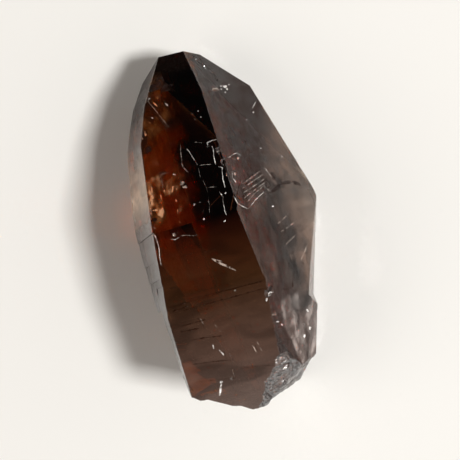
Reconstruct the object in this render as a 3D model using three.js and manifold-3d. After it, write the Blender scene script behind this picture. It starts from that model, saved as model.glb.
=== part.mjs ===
// A smoky Lemurian quartz point, broken off at its base and lying on one of its side faces.
// Millimetres, +Z up. +Y runs along the crystal axis to the tip and z = 0 is the resting face.
// The six tapering sides and the faces of the point are cut from a block, and the growth
// ledges, plates, pits, chips and the broken base are then worked into that one solid.

import * as THREE from 'three';
import { mergeVertices } from 'three/addons/utils/BufferGeometryUtils.js';
import Module from 'manifold-3d';

const wasm = await Module();
wasm.setup();

const axisHeight = 18;          // crystal axis above the resting face
const blockSize = 120;          // block that the crystal is cut from, larger than the crystal
const faceReach = 22;           // half a ledge cutter's length, past the widest face's edges
const weld = 1e-5;              // points closer than this are one
const degrees = THREE.MathUtils.degToRad;

// A face: its turn about the axis from straight up toward +X, its lean toward the tip,
// and its distance out from the axis at one station along it.
const top = {
  tip: { turn: -1, lean: 27, out: 13.05, station: 2 },
  body: { turn: -1, lean: -7, out: 13, station: 0 },
  foot: { turn: 0, lean: -14, out: 11, station: -14 },
};
const right = {
  tip: { turn: 60, lean: 23.4, out: 14.3, station: 2 },
  body: { turn: 60, lean: 0.5, out: 14, station: 0 },
  foot: { turn: 60, lean: -15, out: 12.8, station: -16 },
  wall: { turn: 85, lean: -19, out: 12.4, station: -21 },
  edge: { turn: 88, lean: 14, out: 17.7, station: 4 },
};
const left = {
  shoulder: { turn: -56.5, lean: 23.7, out: 9.9, station: 19 },
  tip: { turn: -57.5, lean: 12.9, out: 12.95, station: 6 },
  body: { turn: -58.5, lean: 3, out: 13.9, station: 0 },
  foot: { turn: -60, lean: -4, out: 14.2, station: -18 },
};
const lowRight = {
  shoulder: { turn: 102, lean: 42, out: 9.4, station: 28 },
  tip: { turn: 126, lean: 8, out: 17, station: 2 },
  keel: { turn: 154, lean: 15, out: 18.2, station: 8 },
  body: { turn: 117, lean: -15.5, out: 17.9, station: 0 },
};
const lowLeft = {
  shoulder: { turn: -115, lean: 15, out: 20.4, station: 26 },
  tip: { turn: -132.5, lean: 10, out: 21.4, station: 6 },
  middle: { turn: -128.5, lean: -5, out: 17, station: 8 },
  body: { turn: -107.5, lean: -13.5, out: 15.9, station: 0 },
};
const point = {
  top: { turn: 3.5, lean: 34, out: -1.8, station: 30 },
  right: { turn: 60, lean: 33, out: 4.4, station: 25 },
  left: { turn: -55.5, lean: 34, out: 5.6, station: 28 },
  under: { turn: 169.5, lean: 66, out: 9, station: 33 },
};
// The worn corner between the right sides. Toward the tip it is cut back behind a sloping lip.
const wornCorner = { turn: 100, lean: -12.7, out: 15.1, station: -16 };
const cornerStep = { y: -16.3, rise: 2, run: -20, lip: 3.4 };
const rest = { turn: 180, lean: 0, out: axisHeight, station: 0 };
const sides = [top, right, left, lowRight, lowLeft, point].flatMap((side) => Object.values(side));

// Growth ledges: a riser across a face at one station, and a ramp that runs back up to the
// face toward the base, or toward the tip where the run is negative. A lip slopes the riser
// toward the base.
const ledges = [
  [top.body, { y: -11.6, rise: 0.2, run: -1.2 }],
  [top.foot, { y: -12.9, rise: 0.2, run: 1.6 }],
  [top.foot, { y: -14.8, rise: 0.22, run: 1, from: -16, to: -4.8, skew: -0.02 }],
  [top.foot, { y: -15.9, rise: 0.2, run: 1.3, from: -16, to: -4.4 }],
  [top.foot, { y: -18.1, rise: 0.08, run: 2, from: -7, to: 4 }],
  [top.foot, { y: -21.7, rise: 0.26, run: 2.4, from: -16, to: -2.4 }],
  [top.foot, { y: -22.2, rise: 0.2, run: 2, from: -1.6, to: 3.6, skew: 0.03 }],
  [top.foot, { y: -25.3, rise: 0.24, run: 1.8, from: -2.2, to: 16 }],
  [top.foot, { y: -28, rise: 0.16, run: 2.2, from: -16, to: -3 }],
];
// Faint ladders of ledges on the sides: the face, a seed, the first and last station and how many.
const ladders = [
  [right.body, 3, -4, -13, 3],
  [right.foot, 7, -14, -27, 5],
  [left.body, 13, 2, -26, 9],
  [lowLeft.body, 17, -1, -26, 10],
  [lowRight.body, 19, -1, -26, 10],
  [lowLeft.tip, 29, 20, 4, 6],
  [lowRight.tip, 31, 20, 4, 6],
  [rest, 43, 8, -24, 5],
];
const ladderRise = [0.08, 0.2];     // least and greatest height of a ladder's ledges
const ladderRun = [0.8, 2.4];
const ladderShift = 0.7;            // share of the spacing that a ledge may slip
const ladderSkew = 0.01;
const ladderEnd = 4;                // how far past the middle of the face a short ledge may end
// Shares of a ladder's ledges that stop short of the face's left end, of the rest that stop
// short of its right end, and of all that run back toward the tip.
const ladderShort = { start: 0.5, end: 0.5, turned: 0.25 };

// Raised growth plates: the face, the height and the outline across it and along the axis.
const plates = [
  [right.tip, 0.2, [[-6.1, 4.1], [-3.8, 6.1], [4.2, 8.4], [4.4, 6.2], [1.8, 4.2], [-5.4, 1.9]]],
  [right.tip, 0.4, [[-5.5, 2.6], [-4.8, 3.9], [2.3, 5.6], [2.2, 4.6], [-5, 2.1]]],
  [right.tip, 0.14, [[-6.6, 1.4], [-5.2, 1.9], [-1.6, 3.2], [-2.6, 2], [-6, 0.6]]],
  [top.tip, 0.14, [[-0.3, 15.7], [4.1, 15.4], [4.7, 13.2], [5.9, 11.2], [6.3, 8.4], [7, 5.6],
    [3.6, 3.6], [3.4, 7.1], [2.8, 8.9], [1.7, 12.4]]],
  [top.tip, 0.24, [[3.4, 15.8], [5.4, 15.9], [8.6, 5], [7.2, 0.9], [6.4, 3.2], [6.1, 8.2], [4.8, 11]]],
];
const plateRoot = 0.6;          // how deep a plate reaches into the crystal below its face

// Chips along the edges, each a flattened block sunk in a face at a place across it and along
// the axis.
const chips = [
  { face: top.tip, x: 6.3, y: 13.3, radius: 0.5, long: 1.9 },
  { face: top.tip, x: 7, y: 10.9, radius: 0.55, long: 1.6 },
  { face: top.tip, x: 7.7, y: 8.4, radius: 0.45, long: 1.7 },
  { face: top.foot, x: 9, y: -13.9, radius: 0.85, long: 1.2 },
  { face: top.tip, x: -8.5, y: 20.6, radius: 0.5, long: 2 },
  { face: top.tip, x: -8.2, y: 6.1, radius: 0.5, long: 1.8 },
  { face: left.body, x: -8.4, y: -10.4, radius: 1.3, long: 2.3 },
  { face: top.foot, x: -11.2, y: -19, radius: 0.8, long: 1.6 },
];
const chipSink = 0.25;          // height of a chip's middle over the face, in radii
const chipDepth = 0.7;          // its flattening
const chipTurn = { about: 1, round: 2 };    // radians from one chip to the next, about X and Z
// Etch pits: a band beside the edge of the point, and single pits on the other faces.
const pitBand = { face: point.right, from: [5.9, 33.2], to: [6.7, 26.6], count: 34, spread: 2.4, seed: 5 };
const bandPit = { least: 0.16, more: 0.28, slip: 0.6 };
const pitSink = 0.2;            // height of a pit's middle over the face, in half widths
const pits = [
  { face: point.right, x: 7, y: 26, size: 0.5 },
  { face: right.tip, x: 7, y: 18.3, size: 0.3 },
  { face: right.tip, x: 9.6, y: 21.6, size: 0.25 },
  { face: right.tip, x: 6, y: 12.3, size: 0.3 },
  { face: right.tip, x: 9.7, y: 9.8, size: 0.3 },
  { face: top.tip, x: 0.8, y: 4.8, size: 0.3 },
  { face: top.tip, x: 2.2, y: 3, size: 0.25 },
  { face: top.tip, x: 1.9, y: 21.6, size: 0.25 },
  { face: top.tip, x: 2.3, y: 20.4, size: 0.25 },
  { face: top.foot, x: -2.8, y: -26.8, size: 0.4 },
  { face: right.foot, x: -2.9, y: -19.3, size: 0.35 },
];

// Broken surfaces of the base: the side they face from -Y toward +X, their upward tilt,
// a point on them measured from the axis, how far they bow in and how rough they are.
const breaks = [
  { side: 42, up: 36, at: [4.6, -28.6, 7.2], bow: 0.5, rough: 0.35, seed: 11 },
  { side: 30, up: -4, at: [6.3, -29.2, -5], bow: 0.5, rough: 0.22, seed: 23 },
  { side: -24, up: -9, at: [-7.4, -30.6, 6.8], bow: 0.5, rough: 0.2, seed: 37 },
  { side: -4, up: -2, at: [1, -33.6, 3], bow: 0.5, rough: 0.2, seed: 41 },
  { side: -88, up: 9, at: [-12.9, -36.6, 0], bow: 0, rough: 0.16, seed: 53 },
];
const breakSize = 50;           // width of a broken surface's cutter
const breakCells = 34;          // its cells each way
const bowReach = 12;            // radius of the bowed middle
const ripple = { x: 9, y: 5, height: 0.12, pitch: 2.4 };  // conchoidal rings about one point

function randomFrom(seed) {
  let state = seed;
  return () => {
    state = (state * 16807) % 2147483647;
    return state / 2147483647;
  };
}

function solid(geometry) {
  geometry.deleteAttribute('normal');
  geometry.deleteAttribute('uv');
  const merged = mergeVertices(geometry, weld);
  return new wasm.Manifold(new wasm.Mesh({
    numProp: 3,
    vertProperties: new Float32Array(merged.attributes.position.array),
    triVerts: new Uint32Array(merged.index.array),
  }));
}

// Lay a geometry on a face: x runs across it, y toward the tip and z out of it.
function onFace(geometry, { turn, lean, out, station }) {
  geometry.rotateX(-degrees(lean));
  geometry.translate(0, station, out);
  geometry.rotateY(degrees(turn));
  geometry.translate(0, 0, axisHeight);
  return solid(geometry);
}

// A station along the axis as a distance along a leaning face.
function alongFace(face, y) {
  return (y - face.station) / Math.cos(degrees(face.lean));
}

function beyondFace(face) {
  const block = new THREE.BoxGeometry(2 * blockSize, 2 * blockSize, blockSize);
  block.translate(0, 0, blockSize / 2);
  return onFace(block, face);
}

function ledgeCut(face, { y, rise, run, from = -faceReach, to = faceReach, skew = 0, lip = 0 }) {
  const wedge = new THREE.Shape();
  wedge.moveTo(0, -rise);
  wedge.lineTo(-2 * lip, rise);
  wedge.lineTo(-2 * run, rise);
  wedge.closePath();
  const cut = new THREE.ExtrudeGeometry(wedge, { depth: to - from, bevelEnabled: false });
  const across = new THREE.Vector3(1, 0, 0);
  const along = new THREE.Vector3(0, 1, 0);
  const outward = new THREE.Vector3(0, 0, 1);
  cut.applyMatrix4(new THREE.Matrix4().makeBasis(along, outward, across));
  cut.translate(from, alongFace(face, y), 0);
  cut.applyMatrix4(new THREE.Matrix4().makeShear(skew, 0, 0, 0, 0, 0));
  return onFace(cut, face);
}

// A plate stops where the neighbouring faces cut it off.
function raisedPlate(face, height, outline) {
  const shape = new THREE.Shape(outline.map(([x, y]) => new THREE.Vector2(x, alongFace(face, y))));
  const plate = new THREE.ExtrudeGeometry(shape, { depth: plateRoot + height, bevelEnabled: false });
  plate.translate(0, 0, -plateRoot);
  const neighbours = sides.filter((other) => other !== face);
  return neighbours.reduce((part, other) => part.subtract(beyondFace(other)), onFace(plate, face));
}

function chip({ face, x, y, radius, long }, i) {
  const block = new THREE.DodecahedronGeometry(radius);
  block.rotateX(i * chipTurn.about);
  block.rotateZ(i * chipTurn.round);
  block.scale(1, long, chipDepth);
  block.translate(x, alongFace(face, y), chipSink * radius);
  return onFace(block, face);
}

function pit({ face, x, y, size, twist = 0 }) {
  const hollow = new THREE.OctahedronGeometry(size);
  hollow.rotateZ(twist);
  hollow.translate(x, alongFace(face, y), pitSink * size);
  return onFace(hollow, face);
}

function bandOfPits({ face, from, to, count, spread, seed }) {
  const random = randomFrom(seed);
  return Array.from({ length: count }, () => {
    const along = random();
    return {
      face,
      x: THREE.MathUtils.lerp(from[0], to[0], along) + spread * random() * random(),
      y: THREE.MathUtils.lerp(from[1], to[1], along) + bandPit.slip * random(),
      size: bandPit.least + bandPit.more * random(),
      twist: Math.PI * random(),
    };
  });
}

// A broken surface: a block whose inner side bows and is rough.
function breakCut({ side, up, at, bow, rough, seed }) {
  const random = randomFrom(seed);
  const block = new THREE.BoxGeometry(breakSize, breakSize, breakSize, breakCells, breakCells, 1);
  block.translate(0, 0, breakSize / 2);
  block.deleteAttribute('normal');
  block.deleteAttribute('uv');
  const merged = mergeVertices(block, weld);
  const places = merged.attributes.position;
  const cell = breakSize / breakCells;
  const inside = (breakSize - cell) / 2;
  for (let i = 0; i < places.count; i += 1) {
    const x = places.getX(i);
    const y = places.getY(i);
    if (places.getZ(i) > inside || Math.abs(x) > inside || Math.abs(y) > inside) continue;
    const reach = Math.hypot(x, y) / bowReach;
    const ring = 2 * Math.PI * Math.hypot(x - ripple.x, y - ripple.y) / ripple.pitch;
    const depth = bow * Math.max(0, 1 - reach * reach) - ripple.height * Math.sin(ring);
    places.setZ(i, -depth + rough * (2 * random() - 1));
    places.setX(i, x + rough * (random() - 0.5));
    places.setY(i, y + rough * (random() - 0.5));
  }
  merged.rotateX(degrees(90 - up));
  merged.rotateZ(degrees(side));
  merged.translate(at[0], at[1], axisHeight + at[2]);
  return solid(merged);
}

function between([low, high], share) {
  return THREE.MathUtils.lerp(low, high, share);
}

function ladder(face, seed, first, last, count) {
  const random = randomFrom(seed);
  return Array.from({ length: count }, (_, i) => {
    const y = between([first, last], (i + ladderShift * random()) / count);
    const startsShort = random() < ladderShort.start;
    const endsShort = !startsShort && random() < ladderShort.end;
    const turned = random() < ladderShort.turned;
    return ledgeCut(face, {
      y,
      rise: between(ladderRise, random()),
      run: between(ladderRun, random()) * (turned ? -1 : 1),
      from: startsShort ? between([-ladderEnd, ladderEnd], random()) : -faceReach,
      to: endsShort ? between([0, ladderEnd], random()) : faceReach,
      skew: ladderSkew * (2 * random() - 1),
    });
  });
}

function quartzSolid() {
  let crystal = solid(new THREE.BoxGeometry(blockSize, blockSize, blockSize));
  for (const face of [...sides, rest]) crystal = crystal.subtract(beyondFace(face));
  for (const [face, ledge] of ledges) crystal = crystal.subtract(ledgeCut(face, ledge));
  for (const plate of plates) crystal = crystal.add(raisedPlate(...plate));
  const cuts = [
    ...ladders.flatMap((steps) => ladder(...steps)),
    ...breaks.map(breakCut),
    ...chips.map(chip),
    ...[...pits, ...bandOfPits(pitBand)].map(pit),
    ledgeCut(wornCorner, cornerStep),
  ];
  for (const cut of cuts) crystal = crystal.subtract(cut);
  return crystal;
}

function quartzCrystal() {
  const { vertProperties, triVerts } = quartzSolid().getMesh();
  const geometry = new THREE.BufferGeometry();
  geometry.setAttribute('position', new THREE.BufferAttribute(vertProperties, 3));
  geometry.setIndex(new THREE.BufferAttribute(triVerts, 1));
  geometry.computeBoundingBox();
  const { min, max } = geometry.boundingBox;
  geometry.translate(-(min.x + max.x) / 2, -(min.y + max.y) / 2, -min.z);
  geometry.computeVertexNormals();
  const quartz = new THREE.Mesh(geometry, new THREE.MeshStandardMaterial({
    color: 0x4f3226,
    roughness: 0.12,
    metalness: 0,
    transparent: true,
    opacity: 0.85,
  }));
  quartz.name = 'quartz_crystal';
  return quartz;
}

const crystalGroup = new THREE.Group();
crystalGroup.add(quartzCrystal());

export default crystalGroup;
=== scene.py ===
# A smoky Lemurian quartz point lying on a plain pale floor.
import math
import random
import bpy
import bmesh
from mathutils import Matrix, Vector, noise
from mathutils.bvhtree import BVHTree


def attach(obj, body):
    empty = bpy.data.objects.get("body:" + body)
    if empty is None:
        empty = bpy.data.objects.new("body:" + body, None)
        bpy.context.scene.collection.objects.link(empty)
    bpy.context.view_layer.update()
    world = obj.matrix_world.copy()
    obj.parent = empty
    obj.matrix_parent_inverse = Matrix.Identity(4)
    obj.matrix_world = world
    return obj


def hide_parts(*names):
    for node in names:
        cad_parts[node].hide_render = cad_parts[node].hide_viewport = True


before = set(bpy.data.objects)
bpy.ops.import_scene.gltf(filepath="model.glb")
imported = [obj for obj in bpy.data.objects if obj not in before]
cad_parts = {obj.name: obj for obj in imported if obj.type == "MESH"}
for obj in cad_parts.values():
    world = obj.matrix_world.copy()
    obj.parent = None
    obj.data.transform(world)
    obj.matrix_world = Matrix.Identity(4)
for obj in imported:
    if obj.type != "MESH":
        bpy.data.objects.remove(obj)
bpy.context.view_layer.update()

mm = 0.001


def linked(name, data):
    thing = bpy.data.objects.new(name, data)
    bpy.context.collection.objects.link(thing)
    return thing


cameraSet = {
    "target": (-0.41, -1.03, 17.0),   # point on the crystal's axis that is looked at, in mm
    "distance": 310.0,
    "tiltRight": 18.0,              # degrees that the view leans over to the +X side
    "tiltBase": 4.0,                # degrees that it leans over to the base
    "roll": 15.5,                   # turn of the picture about the line of sight
    "slide": 1.5,                   # how far the picture's middle is right of the target, in mm
    "millimetresPerPixel": 0.185,
    "pixels": 460,
    "sensor": 36.0,
    "clip": (0.01, 20.0),           # metres
}


def placeCamera(s):
    side = math.radians(s["tiltRight"])
    base = math.radians(s["tiltBase"])
    toCamera = Vector((math.sin(side), -math.sin(base) * math.cos(side),
                       math.cos(base) * math.cos(side)))
    upright = Vector((0, 1, 0))
    up = (upright - upright.dot(toCamera) * toCamera).normalized()
    up.rotate(Matrix.Rotation(math.radians(-s["roll"]), 3, toCamera))
    right = up.cross(toCamera)
    data = bpy.data.cameras.new("camera")
    data.sensor_width = s["sensor"]
    frameWidth = s["millimetresPerPixel"] * s["pixels"]
    data.lens = s["sensor"] * s["distance"] / frameWidth
    data.clip_start, data.clip_end = s["clip"]
    camera = linked("camera", data)
    spot = Vector(s["target"]) + right * s["slide"] + toCamera * s["distance"]
    camera.matrix_world = Matrix.Translation(spot * mm) @ Matrix(
        (right, up, toCamera)).transposed().to_4x4()
    bpy.context.scene.camera = camera
    print("camera placed")


def nodeTree(material):
    material.use_nodes = True
    tree = material.node_tree
    tree.nodes.clear()
    return tree


def noiseNode(tree, place, scale, detail=3.0, stretch=(1, 1, 1), turn=0.0):
    mapping = tree.nodes.new("ShaderNodeMapping")
    mapping.inputs["Scale"].default_value = stretch
    mapping.inputs["Rotation"].default_value = (0, 0, turn)
    tree.links.new(place, mapping.inputs["Vector"])
    node = tree.nodes.new("ShaderNodeTexNoise")
    node.inputs["Scale"].default_value = scale
    node.inputs["Detail"].default_value = detail
    tree.links.new(mapping.outputs[0], node.inputs["Vector"])
    return node.outputs["Fac"]


def rangeNode(tree, value, low, high, toLow=0.0, toHigh=1.0):
    node = tree.nodes.new("ShaderNodeMapRange")
    node.interpolation_type = "SMOOTHSTEP"
    for name, number in (("From Min", low), ("From Max", high), ("To Min", toLow), ("To Max", toHigh)):
        node.inputs[name].default_value = number
    tree.links.new(value, node.inputs["Value"])
    return node.outputs[0]


# Noise brought from one range to another, with the values of one of the dictionaries below.
def patches(tree, place, p):
    spread = noiseNode(tree, place, p["grain"], p["detail"], p["stretch"], p["turn"])
    return rangeNode(tree, spread, *p["from"], *p["to"])


# A sum is kept to 1 at most.
def mathNode(tree, operation, first, second):
    node = tree.nodes.new("ShaderNodeMath")
    node.operation = operation
    node.use_clamp = operation == "ADD"
    for socket, value in zip(node.inputs, (first, second)):
        if isinstance(value, (int, float)):
            socket.default_value = value
        else:
            tree.links.new(value, socket)
    return node.outputs[0]


quartzSet = {
    "ior": 1.544,
    "smokeColour": (0.705, 0.43, 0.05, 1),
    "smokeDensity": 204.0,          # absorption per metre where the colour is 0
    "polish": 0.012,                # roughness of a clear face
    "frostRoughness": 0.4,
    "frostCover": 0.22,             # how far a fully frosted place hides what is behind it
    "hazeAndPaintGloss": 0.03,             # of the haze and the painted light and shade under the polish
    "hazeAndPaintRoughness": 0.3,
    "rightward": (0.2, 0.5),        # how far a right side points that way, from none to all
    "stepColour": (0.05, 0.02, 0.01, 1),
    "stepHaze": 0.5,                # of the narrow steps across the top face
}
# Patches in the frost, the haze and the painted light and shade: fineness per metre, detail, stretch,
# lean in radians, and the range of the noise that becomes a range of shares. This one speckles the frost.
speckle = {
    "grain": 2600.0,
    "detail": 3.0,
    "stretch": (1.0, 1.0, 1.0),
    "turn": 0.0,
    "from": (0.36, 0.62),
    "to": (0.1, 1.0),
}
# Thinner places in the haze and the painted light and shade.
windows = {
    "grain": 130.0,
    "detail": 1.5,
    "stretch": (0.6, 1.5, 0.6),
    "turn": 0.0,
    "from": (0.36, 0.46),
    "to": (0.65, 1.0),
}
# Its fine unevenness.
mottle = {
    "grain": 420.0,
    "detail": 3.0,
    "stretch": (0.5, 1.6, 1.0),
    "turn": 0.0,
    "from": (0.3, 0.7),
    "to": (0.8, 1.0),
}
# Streaks in it on the right sides.
streaks = {
    "grain": 520.0,
    "detail": 3.0,
    "stretch": (1.6, 0.22, 1.0),
    "turn": 0.3,
    "from": (0.3, 0.7),
    "to": (0.5, 1.35),
}
# Layers under the faces that point each way, of milky haze and painted light and shade. The part of
# the normal along "axis" and the upward part each go from none to all of it over a range. It then
# changes along "way", over a span in mm, and its covers and colours stand at shares of that span.
# Top faces: painted black shade at the tip; toward the base brown-grey haze with a painted sheen.
topShadeAndHaze = {
    "axis": "Z",
    "facing": (0.7, 0.85),
    "upward": (0.0, 0.1),
    "way": "Y",
    "span": (35.0, -35.0),
    "cover": ((0.06, 0.96), (0.085, 0.0), (0.49, 0.0), (0.52, 0.14), (0.6, 0.42), (0.7, 0.5),
              (0.85, 0.56), (1.0, 0.62)),
    "colours": ((0.1, (0.0006, 0.0002, 0.0002, 1)), (0.5, (0.08, 0.014, 0.004, 1)),
                (0.66, (0.075, 0.029, 0.011, 1)), (0.85, (0.145, 0.085, 0.064, 1)),
                (1.0, (0.215, 0.158, 0.137, 1))),
}
# Left sides: painted shade toward the tip, then a painted warm glow of light through the quartz.
leftGlowAndShade = {
    "axis": "X",
    "facing": (-0.5, -0.65),
    "upward": (0.0, 0.1),
    "way": "Y",
    "span": (35.0, -15.0),
    "cover": ((0.14, 0.92), (0.24, 0.6), (0.32, 0.3), (0.42, 0.55), (0.52, 0.9), (0.64, 0.35),
              (0.85, 0.1)),
    "colours": ((0.22, (0.03, 0.018, 0.016, 1)), (0.33, (0.5, 0.43, 0.4, 1)), (0.44, (0.9, 0.68, 0.54, 1)),
                (0.52, (1.0, 0.76, 0.58, 1)), (0.68, (0.5, 0.42, 0.4, 1))),
}
# Right sides: brown haze with a painted grey sheen of reflected light, paler toward the outer edge.
rightHazeAndSheen = {
    "axis": "X",
    "facing": (0.55, 0.7),
    "upward": (-0.75, -0.6),
    "way": "X",
    "span": (6.0, 18.0),
    "cover": ((0.0, 0.4), (0.22, 0.66), (0.4, 0.72), (0.55, 0.5), (0.75, 0.45), (1.0, 0.42)),
    "colours": ((0.42, (0.034, 0.018, 0.015, 1)), (0.56, (0.13, 0.085, 0.068, 1)),
                (0.8, (0.26, 0.175, 0.135, 1)), (1.0, (0.4, 0.32, 0.27, 1))),
}
# Veils of fine cracks and patches of painted shade and glow. Each fades in across the crystal and
# at its two ends, over ranges in mm from none to all, and its noise leaves gaps in it.
# Its colours stand at values of more noise.
veilAndGlowNoise = {
    "detail": 4.0,
    "shadeDetail": 2.0,
    "shadeFineness": 1.7,           # of the colours, against the gaps
    "edge": 0.05,                   # cover at which a veil has its own colour
}
# Painted shade mottled with amber glow, under the top face, left of the middle.
darkShadeMottleSet = {
    "across": (-1.5, -4.5),
    "baseEnd": (1.0, 4.5),
    "tipEnd": (30.5, 28.0),
    "grain": 210.0,
    "stretch": (1.0, 0.45, 1.0),
    "turn": 0.35,                   # radians that its grain leans
    "gaps": (0.47, 0.6),            # noise from none to all of the cover
    "cover": 0.8,
    "colours": ((0.0, (0.004, 0.001, 0.001, 1)), (0.5, (0.015, 0.004, 0.002, 1)),
                (0.6, (0.07, 0.019, 0.004, 1)), (0.75, (0.26, 0.095, 0.032, 1))),
}
# Painted amber glow beside it.
amberGlowSet = {
    "across": (0.2, -7.0),
    "baseEnd": (2.5, 7.5),
    "tipEnd": (15.0, 9.4),
    "grain": 380.0,
    "stretch": (1.0, 0.35, 1.0),
    "turn": 0.12,
    "gaps": (0.44, 0.6),
    "cover": 0.75,
    "colours": ((0.38, (0.03, 0.007, 0.002, 1)), (0.48, (0.12, 0.035, 0.01, 1)),
                (0.57, (0.32, 0.11, 0.04, 1)), (0.66, (0.72, 0.38, 0.21, 1))),
}
# The pale lower corner of the right sides.
cornerVeilSet = {
    "across": (8.6, 10.6),
    "baseEnd": (-40.0, -35.0),
    "tipEnd": (-15.5, -20.5),
    "grain": 300.0,
    "stretch": (1.0, 0.5, 1.0),
    "turn": 0.2,
    "gaps": (0.3, 0.6),
    "cover": 0.6,
    "colours": ((0.35, (0.06, 0.042, 0.036, 1)), (0.5, (0.14, 0.108, 0.098, 1)),
                (0.65, (0.34, 0.29, 0.27, 1))),
}
# Brown streaks under the right sides, beside the top face.
rightVeilSet = {
    "across": (15.0, 11.0),
    "baseEnd": (-16.0, -9.0),
    "tipEnd": (6.5, 2.5),
    "grain": 260.0,
    "stretch": (1.5, 0.35, 1.0),
    "turn": 0.3,
    "gaps": (0.34, 0.62),
    "cover": 0.42,
    "colours": ((0.35, (0.016, 0.008, 0.006, 1)), (0.5, (0.035, 0.02, 0.015, 1)),
                (0.65, (0.08, 0.05, 0.04, 1))),
}


def rampNode(tree, value, stops):
    node = tree.nodes.new("ShaderNodeValToRGB")
    ramp = node.color_ramp
    while len(ramp.elements) < len(stops):
        ramp.elements.new(0.5)
    for element, (place, colour) in zip(ramp.elements, stops):
        element.position = place
        element.color = colour if isinstance(colour, tuple) else (colour, colour, colour, 1)
    tree.links.new(value, node.inputs["Fac"])
    return node.outputs["Color"]


def mixColours(tree, share, first, second):
    node = tree.nodes.new("ShaderNodeMix")
    node.data_type = "RGBA"
    tree.links.new(share, node.inputs["Factor"])
    for name, value in (("A", first), ("B", second)):
        socket = next(i for i in node.inputs if i.name == name and i.type == "RGBA")
        if isinstance(value, tuple):
            socket.default_value = value
        else:
            tree.links.new(value, socket)
    return next(o for o in node.outputs if o.type == "RGBA")


def attributeNode(tree, name):
    node = tree.nodes.new("ShaderNodeAttribute")
    node.attribute_name = name
    return node.outputs["Fac"]


def clearGlass(tree, place, s):
    glass = tree.nodes.new("ShaderNodeBsdfPrincipled")
    frost = mathNode(tree, "MULTIPLY", attributeNode(tree, "frost"), patches(tree, place, speckle))
    clear = mathNode(tree, "SUBTRACT", 1.0, mathNode(tree, "MULTIPLY", frost, s["frostCover"]))
    rough = mathNode(tree, "ADD", mathNode(tree, "MULTIPLY", frost, s["frostRoughness"]), s["polish"])
    glass.inputs["Base Color"].default_value = (1, 1, 1, 1)
    glass.inputs["IOR"].default_value = s["ior"]
    tree.links.new(clear, glass.inputs["Transmission Weight"])
    tree.links.new(rough, glass.inputs["Roughness"])
    return glass


def veilAndGlowLook(tree, place, parts, facing, v, s):
    where = facing
    for way, fade in (("X", "across"), ("Y", "baseEnd"), ("Y", "tipEnd")):
        first, last = v[fade]
        inside = rangeNode(tree, parts.outputs[way], first * mm, last * mm)
        where = mathNode(tree, "MULTIPLY", where, inside)
    grain = noiseNode(tree, place, v["grain"], s["detail"], v["stretch"], v["turn"])
    cover = mathNode(tree, "MULTIPLY", rangeNode(tree, grain, *v["gaps"], 0, v["cover"]), where)
    shade = noiseNode(tree, place, v["grain"] * s["shadeFineness"], s["shadeDetail"], v["stretch"], v["turn"])
    return cover, rampNode(tree, shade, v["colours"])


def hazeAndPaintOnSide(tree, parts, facing, h):
    first, last = h["span"]
    along = tree.nodes.new("ShaderNodeMapRange")
    along.inputs["From Min"].default_value = first * mm
    along.inputs["From Max"].default_value = last * mm
    tree.links.new(parts.outputs[h["way"]], along.inputs["Value"])
    turned = rangeNode(tree, facing.outputs[h["axis"]], *h["facing"])
    above = rangeNode(tree, facing.outputs["Z"], *h["upward"])
    onSide = mathNode(tree, "MULTIPLY", turned, above)
    thick = mathNode(tree, "MULTIPLY", rampNode(tree, along.outputs[0], h["cover"]), onSide)
    return onSide, thick, rampNode(tree, along.outputs[0], h["colours"])


# The cover and colour of the layer under all the faces: haze, veils and steps, with the painted shade, glow
# and sheen.
def hazeAndPaintedLightLook(tree, texture, s):
    place = texture.outputs["Object"]
    parts = tree.nodes.new("ShaderNodeSeparateXYZ")
    tree.links.new(place, parts.inputs[0])
    facing = tree.nodes.new("ShaderNodeSeparateXYZ")
    tree.links.new(texture.outputs["Normal"], facing.inputs[0])
    cover = 0.0
    colour = s["stepColour"]
    for hazeAndPaint in (leftGlowAndShade, rightHazeAndSheen, topShadeAndHaze):
        onSide, thick, hazeAndPaintColour = hazeAndPaintOnSide(tree, parts, facing, hazeAndPaint)
        if hazeAndPaint is rightHazeAndSheen:
            thick = mathNode(tree, "MULTIPLY", thick, patches(tree, place, streaks))
        cover = mathNode(tree, "ADD", cover, thick)
        colour = mixColours(tree, onSide, colour, hazeAndPaintColour)
    clouds = mathNode(tree, "MULTIPLY", patches(tree, place, windows), patches(tree, place, mottle))
    cover = mathNode(tree, "MULTIPLY", cover, clouds)
    upward = rangeNode(tree, facing.outputs["Z"], *topShadeAndHaze["facing"])
    rightward = rangeNode(tree, facing.outputs["X"], *s["rightward"])
    for veilAndGlow, onFaces in ((darkShadeMottleSet, upward), (amberGlowSet, upward),
                          (cornerVeilSet, rightward), (rightVeilSet, rightward)):
        veilAndGlowCover, veilAndGlowColour = veilAndGlowLook(tree, place, parts, onFaces, veilAndGlow, veilAndGlowNoise)
        cover = mathNode(tree, "MAXIMUM", cover, veilAndGlowCover)
        colour = mixColours(tree, rangeNode(tree, veilAndGlowCover, 0.0, veilAndGlowNoise["edge"]), colour, veilAndGlowColour)
    step = attributeNode(tree, "stepped")
    cover = mathNode(tree, "MAXIMUM", cover, mathNode(tree, "MULTIPLY", step, s["stepHaze"]))
    return cover, mixColours(tree, step, colour, s["stepColour"])


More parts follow.
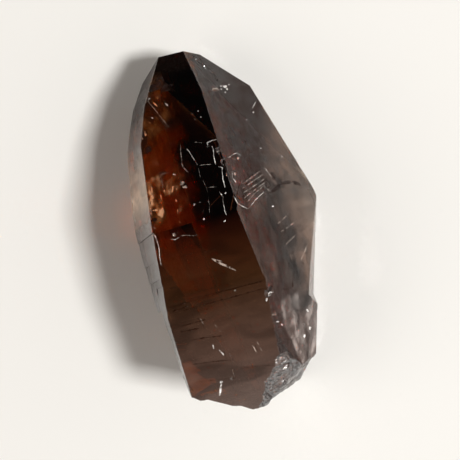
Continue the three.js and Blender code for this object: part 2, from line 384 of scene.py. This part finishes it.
def quartzMaterial(s):
    material = bpy.data.materials.new("smokyQuartz")
    tree = nodeTree(material)
    out = tree.nodes.new("ShaderNodeOutputMaterial")
    texture = tree.nodes.new("ShaderNodeTexCoord")
    glass = clearGlass(tree, texture.outputs["Object"], s)
    cover, colour = hazeAndPaintedLightLook(tree, texture, s)
    # This layer shows the haze and the painted shade, glow and sheen over the glass.
    hazeAndPaintLayer = tree.nodes.new("ShaderNodeBsdfPrincipled")
    tree.links.new(colour, hazeAndPaintLayer.inputs["Base Color"])
    hazeAndPaintLayer.inputs["Roughness"].default_value = s["hazeAndPaintRoughness"]
    hazeAndPaintLayer.inputs["Specular IOR Level"].default_value = s["hazeAndPaintGloss"]
    hazeAndPaintLayer.inputs["IOR"].default_value = s["ior"]
    surface = tree.nodes.new("ShaderNodeMixShader")
    tree.links.new(cover, surface.inputs[0])
    tree.links.new(glass.outputs[0], surface.inputs[1])
    tree.links.new(hazeAndPaintLayer.outputs[0], surface.inputs[2])
    smoke = tree.nodes.new("ShaderNodeVolumeAbsorption")
    smoke.inputs["Color"].default_value = s["smokeColour"]
    smoke.inputs["Density"].default_value = s["smokeDensity"]
    tree.links.new(surface.outputs[0], out.inputs["Surface"])
    tree.links.new(smoke.outputs[0], out.inputs["Volume"])
    return material


crystalSet = {
    "weld": 0.001,                  # mm, points closer than this are one
    "flatAngle": 0.4,               # degrees between triangles that are one face
    "grownArea": 2.6,               # square mm above which a face was grown, not broken
    "sameFace": 1.5,                # degrees between faces that grew as one
    "edgeAngle": 11.0,              # degrees at a corner that is rounded
    "edgeLength": 1.2,              # mm, the shortest corner that is rounded
    "edgeWidth": 0.06,              # mm
    "edgeCuts": 2,
    "topUp": 0.8,                   # top faces point up more than this, and corners between two stay sharp
    "edgeFrost": 0.3,               # frost runs from 0, clear, to 1
    "chipFrost": 0.35,
    "baseFrost": 0.625,             # a whole number of eighths, so that faces are found by it exactly
    "riserWidth": 0.45,             # mm, a long face narrower than this is the riser of a step
    "stripLength": 2.4,             # mm, risers are longer than this, and broken faces that long stay clear
    "baseEnd": -20.0,               # mm along Y, the broken base lies beyond it
    "roughCuts": 3,
    "lumps": ((0.15, 1.1), (0.09, 2.7), (0.06, 6.3)),   # depth in mm and fineness per mm
}


def faceLength(face):
    return max(edge.calc_length() for edge in face.edges)


def isNarrow(face, s):
    length = faceLength(face)
    return length > s["stripLength"] * mm and face.calc_area() / length < s["riserWidth"] * mm


def isGrown(face, grown, s):
    near = math.cos(math.radians(s["sameFace"]))
    return any(face.normal.dot(normal) > near for normal in grown)


def liesOnTop(face, s):
    return any(near.normal.z > s["topUp"] for edge in face.edges for near in edge.link_faces)


def faceFrost(face, s):
    if faceLength(face) > s["stripLength"] * mm:
        return 0.0
    return s["baseFrost"] if face.calc_center_median().y < s["baseEnd"] * mm else s["chipFrost"]


def roughenBase(bm, s):
    frost = bm.faces.layers.float["frost"]
    edges = [e for e in bm.edges if any(f[frost] == s["baseFrost"] for f in e.link_faces)]
    bmesh.ops.subdivide_edges(bm, edges=edges, cuts=s["roughCuts"], use_grid_fill=True)
    inner = [v for v in bm.verts if v.co.y < s["baseEnd"] * mm
             and v.link_faces and all(f[frost] == s["baseFrost"] for f in v.link_faces)]
    bm.normal_update()
    for v in inner:
        spot = v.co / mm
        v.co += v.normal * sum(depth * noise.noise(spot * scale) for depth, scale in s["lumps"]) * mm


def crystal(s):
    mesh = bpy.data.objects["quartz_crystal"].data.copy()
    mesh.materials.clear()
    piece = linked("smoky_quartz_point", mesh)
    bm = bmesh.new()
    bm.from_mesh(mesh)
    bmesh.ops.remove_doubles(bm, verts=bm.verts, dist=s["weld"] * mm)
    bmesh.ops.dissolve_limit(bm, angle_limit=math.radians(s["flatAngle"]), verts=bm.verts, edges=bm.edges)
    bm.normal_update()
    frost = bm.faces.layers.float.new("frost")
    stepped = bm.faces.layers.float.new("stepped")
    # Faces that grew are clear, risers of steps on the top are hazed, and broken faces are frosted.
    grown = [f.normal.copy() for f in bm.faces if f.calc_area() > s["grownArea"] * mm * mm
             and not isNarrow(f, s)]
    risers = {face for face in bm.faces if isNarrow(face, s) and not isGrown(face, grown, s)}
    for face in bm.faces:
        if face in risers:
            face[stepped] = float(liesOnTop(face, s))
        elif not isGrown(face, grown, s):
            face[frost] = faceFrost(face, s)
    corners = [e for e in bm.edges if len(e.link_faces) == 2 and e.calc_length() > s["edgeLength"] * mm
               and e.calc_face_angle() > math.radians(s["edgeAngle"])
               and all(f[frost] == 0 and f not in risers for f in e.link_faces)
               and not all(f.normal.z > s["topUp"] for f in e.link_faces)]
    rounded = bmesh.ops.bevel(bm, geom=corners, offset=s["edgeWidth"] * mm, offset_type="OFFSET",
                              segments=s["edgeCuts"], profile=0.5, affect="EDGES", clamp_overlap=False,
                              material=-1)
    for face in rounded["faces"]:
        face[frost] = s["edgeFrost"]
    roughenBase(bm, s)
    bm.to_mesh(mesh)
    bm.free()
    for polygon in mesh.polygons:
        polygon.use_smooth = False
    mesh.materials.append(quartzMaterial(quartzSet))
    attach(piece, "root")
    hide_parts("quartz_crystal")
    print("crystal cut")
    return piece


detailSet = {
    "axisPlace": (-0.38, -0.97),    # mm, the crystal's axis in the frame's X and Y
    "above": 100.0,                 # mm, the height that a place is dropped onto the crystal from
    "seed": 7,                      # of the lines' unevenness
    "sunk": 0.4,                    # share of a line's thickness that lies in the face
    "step": 0.3,                    # mm between the points along a line
    "wander": 0.035,                # mm
    "thin": 0.2,                    # least share of a line's width
    "uneven": 0.65,                 # how much wider it gets in places
    "lineEnd": 0.35,                # share of the width that is left at its ends
    "sheet": 0.03,                  # mm, thickness of a flake
    "raised": 0.6,                  # share of it between the face and the flake's first skin
    "flakeCorners": 9,
    "flakeReach": (0.55, 1.15),     # least and greatest share of its size at a corner
    "ior": 1.3,
    "noiseDetail": 3.0,
    "noiseRange": (0.4, 0.6),       # from a piece's least cover to its most
}
# Each kind of small piece below has its finish and its places. The cover is the least and the
# most of it in patches, and the grain is how many patches there are per metre.
# A line has its half width, then points across and along the crystal from its axis, in mm.
# Painted glints: white lines where the edges of growth steps catch the light.
brightLineSet = {
    "material": "stepGlint",
    "colour": (0.93, 0.9, 0.86, 1),
    "roughness": 0.35,
    "cover": (0.3, 1.0),
    "grain": 1900.0,
    "lines": [
        (0.13, [(6.1, 15.4), (5.3, 15.4), (4.2, 15.3), (4.3, 14.8)]),
        (0.17, [(5.0, 14.4), (5.3, 13.7), (5.2, 12.5), (5.4, 10.8)]),
        (0.14, [(5.8, 10.3), (6.7, 9.8), (6.5, 9.3), (6.5, 7.6), (6.8, 6.0)]),
        (0.15, [(5.6, 5.6), (6.1, 4.6), (6.0, 3.5), (6.1, 2.5), (6.2, 1.2)]),
        (0.11, [(0.0, 15.4), (0.5, 14.8), (1.2, 13.3), (1.8, 11.8)]),
        (0.12, [(3.4, 5.4), (3.2, 4.6), (3.5, 4.0)]),
        (0.10, [(-1.0, 12.1), (-0.2, 11.1)]),
        (0.12, [(8.1, 4.2), (8.5, 3.0), (9.2, 1.9), (9.6, 1.4)]),
        (0.10, [(9.7, 1.3), (10.5, 2.2), (11.2, 3.0), (12.0, 3.8)]),
        (0.10, [(12.1, 8.4), (13.0, 6.3)]),
        (0.11, [(8.0, 8.8), (8.1, 7.5), (8.5, 6.5)]),
        (0.09, [(7.6, 11.5), (8.1, 11.9), (8.6, 12.1), (9.1, 11.4)]),
        (0.09, [(-5.1, 0.0), (-4.4, -0.3), (-3.6, -0.1)]),
        (0.09, [(-7.8, 1.6), (-7.7, -0.6), (-8.2, -2.4), (-8.4, -4.0)]),
        (0.08, [(-8.1, 3.0), (-7.3, 2.6)]),
    ],
}
# Fainter painted glints along step edges, and a painted highlight along the top face's left edge.
faintLineSet = {
    "material": "faintStepGlint",
    "colour": (0.75, 0.68, 0.62, 1),
    "roughness": 0.4,
    "cover": (0.1, 0.6),
    "grain": 1900.0,
    "lines": [
        (0.08, [(-1.1, 16.6), (-1.2, 15.2), (-1.2, 13.1), (-1.0, 12.1)]),
        (0.08, [(1.8, 11.8), (2.0, 10.6), (2.1, 9.2)]),
        (0.09, [(2.6, 8.6), (3.1, 7.2), (3.3, 5.9)]),
        (0.07, [(3.3, 4.0), (3.2, 2.5)]),
        (0.08, [(2.3, 11.6), (3.7, 11.3), (4.6, 11.1)]),
        (0.08, [(3.2, 7.2), (5.1, 6.7)]),
        (0.07, [(1.6, 16.2), (3.3, 15.6)]),
        (0.07, [(4.0, 14.5), (4.9, 14.6)]),
        (0.07, [(5.6, 13.1), (6.6, 13.2)]),
        (0.09, [(9.2, 6.9), (9.2, 6.1)]),
        (0.07, [(9.9, 2.6), (11.0, 3.8), (12.2, 5.0), (12.6, 3.6)]),
        (0.1, [(9.4, 6.0), (11.7, 7.9)]),
        (0.09, [(9.4, 5.2), (12.0, 7.1)]),
        (0.1, [(9.5, 4.3), (12.2, 6.2)]),
        (0.09, [(9.6, 3.3), (12.3, 5.5)]),
        (0.05, [(-7.0, 27.2), (-3.1, 20.6)]),
        (0.06, [(-4.9, 34.0), (-5.8, 30.8), (-7.0, 27.8), (-8.4, 24.2)]),
        (0.07, [(-3.3, 0.1), (-2.1, -0.1), (-1.1, -0.5), (0.2, -0.7)]),
        (0.07, [(-4.5, -14.9), (-4.3, -16.2)]),
        (0.07, [(-5.8, 11.6), (-5.3, 12.2), (-4.1, 12.1)]),
        (0.07, [(-5.4, 11.3), (-5.4, 9.4)]),
    ],
}
stripeSet = {
    "material": "stripeBrown",
    "colour": (0.03, 0.009, 0.003, 1),
    "roughness": 0.4,
    "cover": (0.25, 0.85),
    "grain": 700.0,
    "lines": [
        (0.2, [(-5.9, -11.1), (-1.0, -11.3), (4.0, -11.5), (9.0, -11.7)]),
        (0.2, [(-7.1, -12.8), (-1.0, -12.8), (3.5, -12.9), (8.6, -12.9)]),
        (0.3, [(-8.9, -11.9), (-6.2, -11.6)]),
        (0.3, [(-8.9, -12.5), (-6.0, -12.3)]),
        (0.2, [(-8.7, -15.4), (-3.6, -15.4)]),
        (0.22, [(-9.0, -16.3), (-5.4, -16.6)]),
        (0.16, [(-7.6, -18.2), (-4.0, -18.6), (-1.7, -19.0)]),
        (0.18, [(-9.0, -22.5), (-5.0, -23.0), (-1.3, -23.6)]),
        (0.06, [(-0.6, -25.5), (3.0, -25.9), (8.4, -27.1)]),
        (0.12, [(-9.6, -25.7), (-2.0, -26.9)]),
        (0.12, [(-6.2, -3.5), (-2.0, -3.5), (2.7, -3.9)]),
        (0.25, [(-8.6, -8.3), (-6.8, -8.5)]),
        (0.12, [(9.5, 5.6), (11.9, 7.5)]),
        (0.12, [(9.5, 4.7), (12.1, 6.6)]),
        (0.12, [(9.6, 3.8), (12.2, 5.8)]),
        (0.13, [(-7.3, 27.1), (-3.3, 20.3)]),
    ],
}
# A flake has its place across and along, half its sizes across and along, and its turn in degrees.
# White specks, painted glints where chips and faces catch the light; the last four line the left edge.
paleFlakeSet = {
    "material": "paleFlake",
    "colour": (0.92, 0.9, 0.88, 1),
    "roughness": 0.35,
    "cover": (0.3, 1.0),
    "grain": 3200.0,
    "flakes": [
        (2.0, 1.7, 0.22, 0.16, 30), (5.6, 0.3, 0.25, 0.1, 20), (1.6, 4.9, 0.1, 0.1, 0),
        (0.4, 4.8, 0.08, 0.2, -30), (6.7, 5.1, 0.16, 0.14, 0), (3.0, 21.8, 0.09, 0.09, 0),
        (3.4, 20.5, 0.09, 0.09, 0), (-6.6, 27.3, 0.2, 0.12, 30), (3.5, -11.9, 0.12, 0.1, 0),
        (-3.1, 25.0, 0.12, 0.5, 38), (-6.3, 23.4, 0.3, 0.08, -35), (-2.9, 11.4, 0.3, 0.1, -30),
        (9.2, -14.1, 0.36, 0.5, -45), (8.4, -15.0, 0.16, 0.4, -30), (8.7, -19.2, 0.13, 0.12, 0),
        (9.0, -19.9, 0.09, 0.22, 0), (-4.0, -20.4, 0.1, 0.4, -8), (-3.0, -21.8, 0.14, 0.85, 20),
        (-5.7, -28.4, 0.28, 1.75, -29), (-4.9, -26.9, 0.4, 0.25, 0), (9.8, 18.3, 0.14, 0.1, 0),
        (10.8, 21.0, 0.05, 0.9, -20), (10.7, 19.6, 0.09, 0.12, 0), (11.6, 12.2, 0.14, 0.1, 0),
        (12.7, 0.9, 0.14, 0.16, 0), (7.0, 25.7, 0.25, 0.3, 10), (14.3, 9.8, 0.07, 0.2, 0),
        (6.5, 25.9, 0.14, 0.12, 0), (7.3, 25.1, 0.12, 0.2, 30), (6.6, 25.2, 0.1, 0.16, 0),
        (7.5, 26.0, 0.1, 0.1, 0), (7.1, 24.5, 0.08, 0.12, 0), (12.6, -18.6, 0.12, 0.3, 10),
        (12.0, -21.8, 0.1, 0.35, -20), (10.9, -22.9, 0.14, 0.3, -30),
        (-16.8, 13.4, 0.09, 1.5, -4), (-16.8, 10.4, 0.1, 1.4, 3), (-16.6, 8.2, 0.14, 0.16, 0),
        (-16.4, 6.6, 0.07, 0.9, 8),
    ],
}
# Painted amber glints of cracks inside catching the light; the last two line the left edge.
amberFlakeSet = {
    "material": "amberFlake",
    "colour": (0.8, 0.38, 0.2, 1),
    "roughness": 0.35,
    "cover": (0.0, 0.8),
    "grain": 1500.0,
    "flakes": [
        (-7.9, 7.8, 0.3, 1.3, -14), (-7.3, 6.0, 0.6, 0.2, -10), (-8.0, 20.9, 0.24, 0.6, 8),
        (-2.8, 8.2, 0.1, 0.5, -10), (-3.0, 6.5, 0.12, 0.35, 20), (-2.9, 4.2, 0.06, 0.7, -5),
        (-2.7, 2.5, 0.07, 0.2, 0), (-6.9, 22.6, 0.2, 0.08, -30), (-5.9, 8.1, 0.07, 0.6, 5),
        (-5.4, 25.8, 0.14, 0.9, 35), (-4.6, 27.0, 0.4, 0.16, 10), (-7.6, 9.8, 0.14, 1.1, -4),
        (-5.2, 8.8, 0.2, 0.5, -12), (-8.1, 5.4, 0.22, 0.5, 10), (-3.5, 8.8, 0.16, 0.6, -12),
        (-16.9, 12.5, 0.14, 1.7, -8), (-17.0, 9.4, 0.16, 1.3, 4),
    ],
}
# Painted shade: black by the tip, dark patches in the amber, a chip's dark crescent; the first is a dark
# line.
darkShadeFlakeSet = {
    "material": "darkShadeFlake",
    "colour": (0.012, 0.005, 0.004, 1),
    "roughness": 0.4,
    "cover": (0.15, 0.9),
    "grain": 900.0,
    "flakes": [
        (-5.2, 23.5, 0.24, 3.7, 27), (-7.6, 17.6, 0.7, 1.1, 10), (-7.7, 4.3, 0.6, 0.4, 0),
        (-4.4, 30.6, 1.1, 1.5, 8), (-4.9, 29.4, 1.7, 1.5, 0), (-2.9, 28.3, 1.5, 0.9, 10),
        (-3.7, 25.9, 0.4, 1.5, 30), (-5.2, 12.4, 1.6, 0.14, -6), (-8.1, -0.4, 0.24, 2.6, 5),
        (9.5, -13.3, 0.18, 0.7, -45),
    ],
}
brownVeilFlakeSet = {
    "material": "brownVeil",
    "colour": (0.022, 0.011, 0.009, 1),
    "roughness": 0.4,
    "cover": (0.2, 0.75),
    "grain": 900.0,
    "flakes": [
        (13.5, 4.0, 1.0, 0.34, 40), (14.9, 4.7, 1.1, 0.42, 0), (16.2, 4.1, 0.9, 0.3, -40),
        (13.2, 6.4, 0.35, 0.9, 20), (12.6, 5.0, 0.25, 0.8, 0),
    ],
}
wispSet = {
    "material": "paleMist",
    "colour": (0.62, 0.5, 0.43, 1),
    "roughness": 0.5,
    "cover": (0.0, 0.45),
    "grain": 1100.0,
    "flakes": [
        (3.0, -7.0, 0.24, 2.5, 49), (2.0, -5.9, 0.12, 1.2, 60), (3.2, -23.0, 0.09, 1.3, 8),
        (4.2, -22.5, 0.07, 1.0, 8), (-1.4, 9.0, 0.5, 1.3, 35), (-4.0, 0.6, 0.8, 0.3, 0),
        (8.0, 11.3, 0.12, 0.8, 44), (8.7, 11.0, 0.22, 0.28, 20), (8.3, 8.4, 0.14, 0.9, 14),
        (8.8, 4.9, 0.12, 0.8, 20), (13.9, -3.3, 0.1, 1.3, -58), (13.3, -1.9, 0.07, 1.1, -52),
        (13.8, -5.6, 0.08, 1.3, -48), (14.8, -8.7, 0.08, 1.6, -28), (5.9, 25.4, 0.7, 0.4, 0),
        (-2.0, -17.5, 0.05, 0.9, 20), (8.9, -17.8, 0.6, 0.3, 0),
    ],
}


def onSurface(surface, x, y, s):
    start = Vector((x + s["axisPlace"][0], y + s["axisPlace"][1], s["above"])) * mm
    place, normal, _, _ = surface.ray_cast(start, Vector((0, 0, -1)))
    return place, normal


def alongLine(points, step):
    for (x0, y0), (x1, y1) in zip(points, points[1:]):
        count = max(1, round(math.hypot(x1 - x0, y1 - y0) / step))
        for i in range(count):
            yield x0 + (x1 - x0) * i / count, y0 + (y1 - y0) * i / count
    yield points[-1]


def detailMaterial(kind, s):
    material = bpy.data.materials.new(kind["material"])
    tree = nodeTree(material)
    out = tree.nodes.new("ShaderNodeOutputMaterial")
    shader = tree.nodes.new("ShaderNodeBsdfPrincipled")
    place = tree.nodes.new("ShaderNodeTexCoord").outputs["Object"]
    shader.inputs["Base Color"].default_value = kind["colour"]
    shader.inputs["Roughness"].default_value = kind["roughness"]
    shader.inputs["IOR"].default_value = s["ior"]
    spread = noiseNode(tree, place, kind["grain"], s["noiseDetail"])
    alpha = rangeNode(tree, spread, *s["noiseRange"], *kind["cover"])
    tree.links.new(alpha, shader.inputs["Alpha"])
    tree.links.new(shader.outputs[0], out.inputs["Surface"])
    return material


def lineMesh(name, lines, surface, s):
    rand = random.Random(s["seed"])
    curve = bpy.data.curves.new(name, "CURVE")
    curve.dimensions = "3D"
    curve.bevel_depth = mm
    curve.bevel_resolution = 0
    curve.use_fill_caps = True
    for width, points in lines:
        places = list(alongLine(points, s["step"]))
        spline = curve.splines.new("POLY")
        spline.points.add(len(places) - 1)
        for i, (point, (x, y)) in enumerate(zip(spline.points, places)):
            place, normal = onSurface(surface, x + rand.uniform(-1, 1) * s["wander"], y, s)
            end = s["lineEnd"] if i in (0, len(places) - 1) else 1.0
            radius = width * end * (s["thin"] + s["uneven"] * rand.random() ** 2)
            place = place + normal * radius * (1 - 2 * s["sunk"]) * mm
            point.co = (*place, 1)
            point.radius = radius
    holder = linked(name, curve)
    mesh = bpy.data.meshes.new_from_object(holder.evaluated_get(bpy.context.evaluated_depsgraph_get()))
    bpy.data.objects.remove(holder)
    mesh.name = name
    mesh.materials.clear()
    return mesh


def flake(bm, surface, spot, rand, s):
    x, y, across, along, turn = spot
    ring = bmesh.ops.create_circle(bm, cap_ends=True, segments=s["flakeCorners"], radius=1)["verts"]
    twist = Matrix.Rotation(math.radians(turn), 3, "Z")
    for v in ring:
        reach = rand.uniform(*s["flakeReach"])
        flat = twist @ Vector((v.co.x * across * reach, v.co.y * along * reach, 0))
        place, normal = onSurface(surface, x + flat.x, y + flat.y, s)
        v.co = place + normal * s["sheet"] * s["raised"] * mm


def flakeMesh(name, spots, surface, s):
    rand = random.Random(len(spots))
    bm = bmesh.new()
    for spot in spots:
        flake(bm, surface, spot, rand, s)
    bmesh.ops.recalc_face_normals(bm, faces=bm.faces)
    bmesh.ops.solidify(bm, geom=bm.faces[:], thickness=s["sheet"] * mm)
    bmesh.ops.recalc_face_normals(bm, faces=bm.faces)
    mesh = bpy.data.meshes.new(name)
    bm.to_mesh(mesh)
    bm.free()
    return mesh


def details(crystalPiece, s):
    surface = BVHTree.FromObject(crystalPiece, bpy.context.evaluated_depsgraph_get())
    for name, kind in (("step_lines_bright", brightLineSet), ("step_lines_faint", faintLineSet),
                       ("pale_flakes", paleFlakeSet), ("amber_flakes", amberFlakeSet),
                       ("growth_stripes", stripeSet), ("dark_shade_flakes", darkShadeFlakeSet),
                       ("brown_veils", brownVeilFlakeSet), ("pale_wisps", wispSet)):
        if "lines" in kind:
            mesh = lineMesh(name, kind["lines"], surface, s)
        else:
            mesh = flakeMesh(name, kind["flakes"], surface, s)
        mesh.materials.append(detailMaterial(kind, s))
        piece = linked(name, mesh)
        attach(piece, "root")
        print(name, "laid")


stageSet = {
    "halfWidth": 3.0,               # of the square floor, in metres
    "gap": 0.0002,                  # air under the crystal's resting face
    "colour": (0.82, 0.81, 0.79, 1),
    "roughness": 0.95,
    "gloss": 0.1,
}


def floorPiece(s):
    bm = bmesh.new()
    bmesh.ops.create_grid(bm, x_segments=1, y_segments=1, size=s["halfWidth"])
    bmesh.ops.translate(bm, vec=(0, 0, -s["gap"]), verts=bm.verts)
    mesh = bpy.data.meshes.new("floor")
    bm.to_mesh(mesh)
    bm.free()
    piece = linked("floor", mesh)
    material = bpy.data.materials.new("paleCloth")
    tree = nodeTree(material)
    out = tree.nodes.new("ShaderNodeOutputMaterial")
    shader = tree.nodes.new("ShaderNodeBsdfPrincipled")
    shader.inputs["Base Color"].default_value = s["colour"]
    shader.inputs["Roughness"].default_value = s["roughness"]
    shader.inputs["Specular IOR Level"].default_value = s["gloss"]
    tree.links.new(shader.outputs[0], out.inputs["Surface"])
    mesh.materials.append(material)
    print("floor laid")


lightSet = {
    "keyTurn": -21.0,               # degrees round from +X to +Y
    "keyRise": 48.0,                # degrees above the floor
    "keyDistance": 2.0,             # metres from the crystal
    "keySide": 0.3,                 # width of the square lamp, in metres
    "keyPower": 43.0,
    "keyColour": (1.0, 0.995, 0.97),
    "softToward": (-0.8, -0.1, 1.0),   # the way to the lamp
    "softDistance": 1.6,            # metres
    "softSide": 1.2,
    "softPower": 6.5,
    "softColour": (1.0, 0.93, 0.86),
    "horizonGlow": 0.85,            # the low surroundings, where white is 1
    "overhead": 0.02,               # the surroundings above them
    "glowTop": 11.0,                # degrees up at which the glow ends
    "glowFade": 0.7,                # share of the sine of that at which it starts to fade
    "fill": 1.25,                   # a higher glow on one side
    "fillTop": 44.0,                # degrees up at which it ends
    "fillFade": 0.85,
    "fillTurn": -40.0,              # degrees round from +X to +Y of its middle
    "fillEdge": (-0.1, 1.0),        # cosines of the turn from there between which it fades
    "surroundColour": (1.0, 0.93, 0.87, 1),
    "bounces": 24,                  # that light is followed for through the quartz
}


def squareLamp(name, toward, distance, side, power, colour):
    data = bpy.data.lights.new(name, "AREA")
    data.shape = "SQUARE"
    data.size = side
    data.energy = power
    data.color = colour
    lamp = linked(name, data)
    lamp.location = toward * distance
    lamp.rotation_euler = toward.to_track_quat("Z", "Y").to_euler()
    return lamp


def keyLamp(s):
    turn = math.radians(s["keyTurn"])
    rise = math.radians(s["keyRise"])
    toward = Vector((math.cos(rise) * math.cos(turn), math.cos(rise) * math.sin(turn), math.sin(rise)))
    squareLamp("keyLamp", toward, s["keyDistance"], s["keySide"], s["keyPower"], s["keyColour"])


# Lifts the crystal's shadow without a highlight of its own in the quartz.
def softLamp(s):
    toward = Vector(s["softToward"]).normalized()
    lamp = squareLamp("softLamp", toward, s["softDistance"], s["softSide"], s["softPower"], s["softColour"])
    lamp.visible_glossy = False
    lamp.visible_transmission = False


def surroundings(s):
    world = bpy.data.worlds.new("surroundings")
    bpy.context.scene.world = world
    world.use_nodes = True
    tree = world.node_tree
    background = tree.nodes["Background"]
    parts = tree.nodes.new("ShaderNodeSeparateXYZ")
    direction = tree.nodes.new("ShaderNodeTexCoord").outputs["Generated"]
    tree.links.new(direction, parts.inputs[0])
    height = parts.outputs["Z"]
    glowTop = math.sin(math.radians(s["glowTop"]))
    fillTop = math.sin(math.radians(s["fillTop"]))
    glow = rangeNode(tree, height, glowTop * s["glowFade"], glowTop, s["horizonGlow"], s["overhead"])
    fill = rangeNode(tree, height, fillTop * s["fillFade"], fillTop, s["fill"], 0)
    fillTurn = math.radians(s["fillTurn"])
    toward = tree.nodes.new("ShaderNodeVectorMath")
    toward.operation = "DOT_PRODUCT"
    toward.inputs[1].default_value = (math.cos(fillTurn), math.sin(fillTurn), 0)
    tree.links.new(direction, toward.inputs[0])
    side = rangeNode(tree, toward.outputs["Value"], *s["fillEdge"])
    strength = mathNode(tree, "MAXIMUM", glow, mathNode(tree, "MULTIPLY", fill, side))
    background.inputs["Color"].default_value = s["surroundColour"]
    tree.links.new(strength, background.inputs["Strength"])


def lightStage(s):
    keyLamp(s)
    softLamp(s)
    surroundings(s)
    scene = bpy.context.scene
    scene.view_settings.view_transform = "Standard"
    scene.cycles.sample_clamp_indirect = 0
    scene.cycles.blur_glossy = 0
    scene.cycles.transmission_bounces = s["bounces"]
    scene.cycles.max_bounces = s["bounces"]
    print("lights set")


placeCamera(cameraSet)
details(crystal(crystalSet), detailSet)
floorPiece(stageSet)
lightStage(lightSet)
